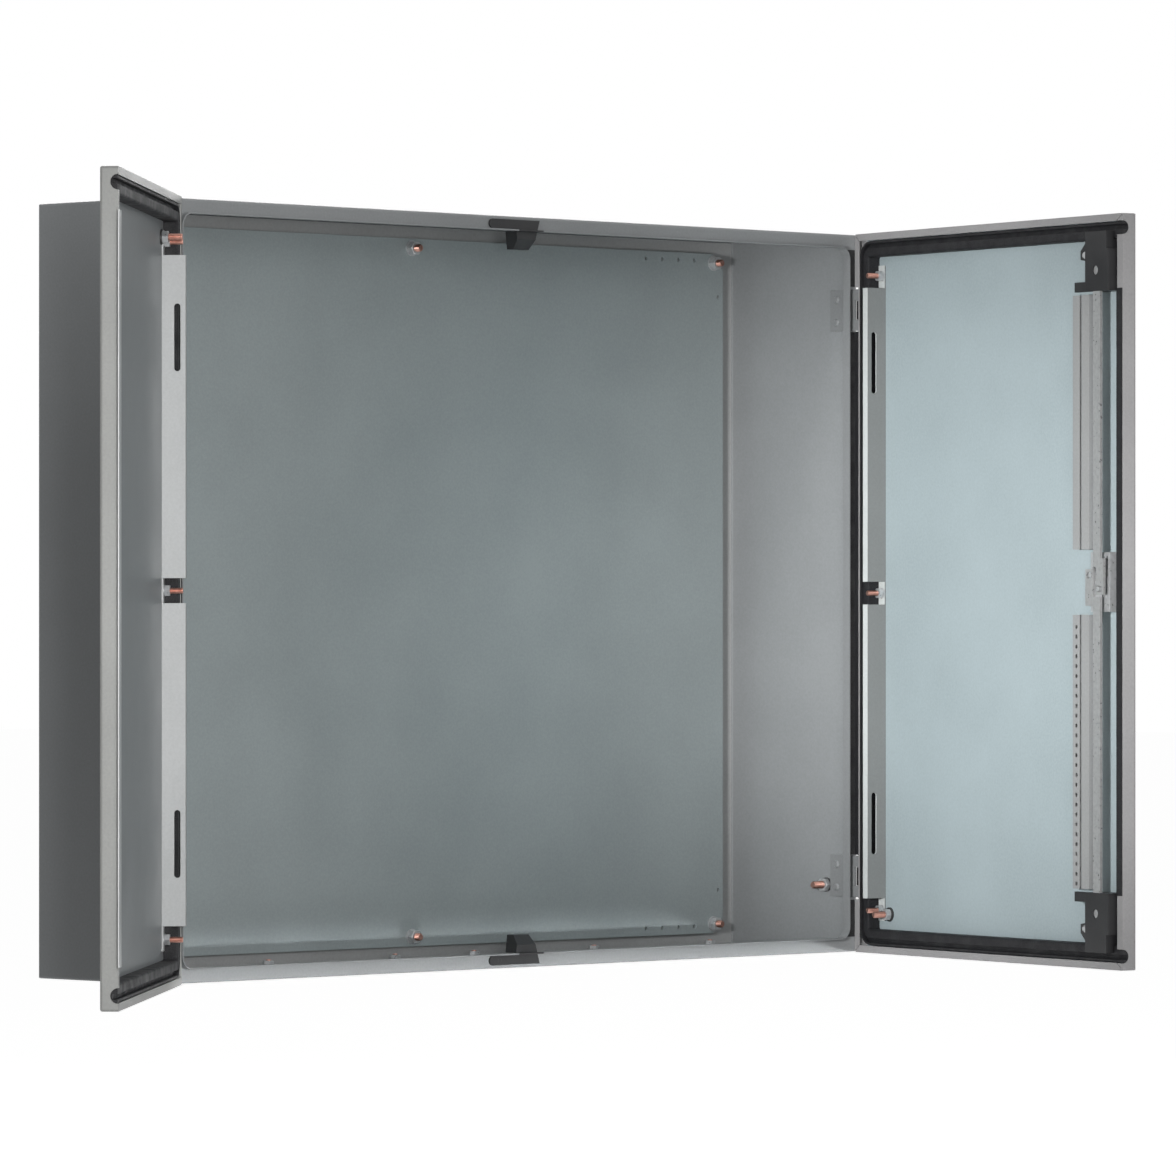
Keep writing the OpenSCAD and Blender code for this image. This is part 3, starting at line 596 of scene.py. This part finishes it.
def joined_piece(name, parts, mat, body):
    """Joins parts, each its points and faces, into one piece that rides on a body."""
    verts, faces = [], []
    for part_verts, part_faces in parts:
        faces.extend(tuple(i + len(verts) for i in face) for face in part_faces)
        verts.extend(part_verts)
    mesh = bpy.data.meshes.new(name)
    mesh.from_pydata(verts, [], faces)
    mesh.materials.append(mat)
    obj = bpy.data.objects.new(name, mesh)
    bpy.context.scene.collection.objects.link(obj)
    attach(obj, body)
    return obj


def stand_in(name, parts, mat, node):
    """A piece that stands for a CAD node and moves with its body."""
    obj = joined_piece(name, parts, mat, NODES[node]["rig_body"])
    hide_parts(node)


def make_studs(node, axis, pitch, shank=0.0):
    """Threaded studs for a node, thinner than its thickest part by the shank's step."""
    parts = []
    for points in solids_of(node):
        foot, length, radius, corner = axis_frame(points, axis)
        parts.append(wrapped(foot, axis, corner, 20, thread_rows(radius - shank, length, pitch)))
    stand_in(node + "_threaded", parts, MATS["copper"], node)


def make_nuts(node, axis, bore):
    """Chamfered nuts for a node."""
    parts = []
    for points in solids_of(node):
        foot, length, radius, corner = axis_frame(points, axis)
        parts.append(wrapped(foot, axis, corner, 36, nut_rows(radius, length, bore)))
    stand_in(node + "_chamfered", parts, MATS["zinc"], node)


def make_fasteners():
    """Every stud with its thread pitch, and every nut with its bore's radius."""
    step = 0.3 * MM
    make_studs("plate_studs", FORWARD, 1.25 * MM)
    make_studs("gland_studs", UP, 1.0 * MM)
    make_studs("left_profile_studs", INTO_LEFT, 1.0 * MM)
    make_studs("right_profile_studs", INTO_RIGHT, 1.0 * MM)
    make_studs("left_earth_stud", INTO_LEFT, 1.25 * MM, step)
    make_studs("right_earth_stud", INTO_RIGHT, 1.25 * MM, step)
    make_studs("body_earth_stud", INTO_BODY, 1.25 * MM, step)
    make_nuts("plate_nuts", FORWARD, 3.7 * MM)
    make_nuts("gland_nuts", UP, 2.7 * MM)
    make_nuts("left_profile_nuts", INTO_LEFT, 2.7 * MM)
    make_nuts("right_profile_nuts", INTO_RIGHT, 2.7 * MM)
    make_nuts("left_earth_nut", INTO_LEFT, 3.3 * MM)
    make_nuts("right_earth_nut", INTO_RIGHT, 3.3 * MM)
    make_nuts("body_earth_nut", INTO_BODY, 3.8 * MM)


# ---------- painted shade: dark strips in the hinge gaps ---

# sizes of the dark strips that paint the shade in the hinge gaps
SHADE_STRIP_REACH = 364.0 * MM
SHADE_STRIP_THICK = 0.4 * MM
FLANGE_SHADE_STRIP = (482.2 * MM, 497.5 * MM)
RIM_SHADE_STRIP = (487.7 * MM, 494.8 * MM)
# the flange lies this far behind the lip's edge, and a closed door's rim this far before the flange
FLANGE_BEHIND = 7.5 * MM
RIM_BEFORE = 2.5 * MM
PIN_LENGTH = 46.0 * MM
PIN_CLEAR = 2.0 * MM


def strip_prism(x_span, y_base, y_top, z_span):
    """A strip with rounded shoulders, lying on the plane y_base."""
    x_from, x_to = x_span
    shoulder = 0.15 * (x_to - x_from)
    half_up = y_base + 0.6 * (y_top - y_base)
    outline = [(x_from, y_base), (x_from, half_up), (x_from + shoulder, y_top),
               (x_to - shoulder, y_top), (x_to, half_up), (x_to, y_base)]
    if (x_to - x_from) * (y_top - y_base) > 0.0:
        outline.reverse()
    n = len(outline)
    verts = [Vector((x, y, z)) for z in z_span for x, y in outline]
    faces = [(k, (k + 1) % n, n + (k + 1) % n, n + k) for k in range(n)]
    faces.append(tuple(reversed(range(n))))
    faces.append(tuple(range(n, 2 * n)))
    return verts, faces


def make_hinge_shade_strips():
    """Dark strips of painted shade in the hinge gaps, in the seals' foam finish, on the flange and on the
    rim of each door; they leave the hinges clear.
    """
    pin_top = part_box("right_hinge_pins")[1].z
    low, high = pin_top - PIN_LENGTH, pin_top + PIN_CLEAR
    middle = (-low, low)
    flange_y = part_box("front_frame")[0].y + FLANGE_BEHIND
    rim_y = flange_y - RIM_BEFORE
    for side, sign in (("left", -1.0), ("right", 1.0)):
        x_span = [sign * x for x in FLANGE_SHADE_STRIP]
        parts = [strip_prism(x_span, flange_y, flange_y - SHADE_STRIP_THICK, z_span)
                 for z_span in ((-SHADE_STRIP_REACH, -high), middle, (high, SHADE_STRIP_REACH))]
        # painted shade: a dark strip on the flange, in the gap beside the door
        joined_piece(side + "_flange_shade_strip", parts, MATS["foam"], "enclosure_body")
        at = Vector(JOINTS[side + "_door_hinge"]["pos_m"])
        x_span = [sign * x for x in RIM_SHADE_STRIP]
        verts, faces = strip_prism(x_span, rim_y, rim_y + SHADE_STRIP_THICK, middle)
        turned = [at + door_turn(side) @ (v - at) for v in verts]
        # painted shade: a dark strip on the door's rim between the hinges
        joined_piece(side + "_rim_shade_strip", [(turned, faces)], MATS["foam"], side + "_door")


# ---------- the scene ----------

bpy.context.scene.view_settings.view_transform = "Standard"
make_camera()
make_lights()
make_world(0.10)
make_floor(0.35, 30.0)
MATS = make_materials()
dress_nodes(MATS)
make_fasteners()
make_hinge_shade_strips()
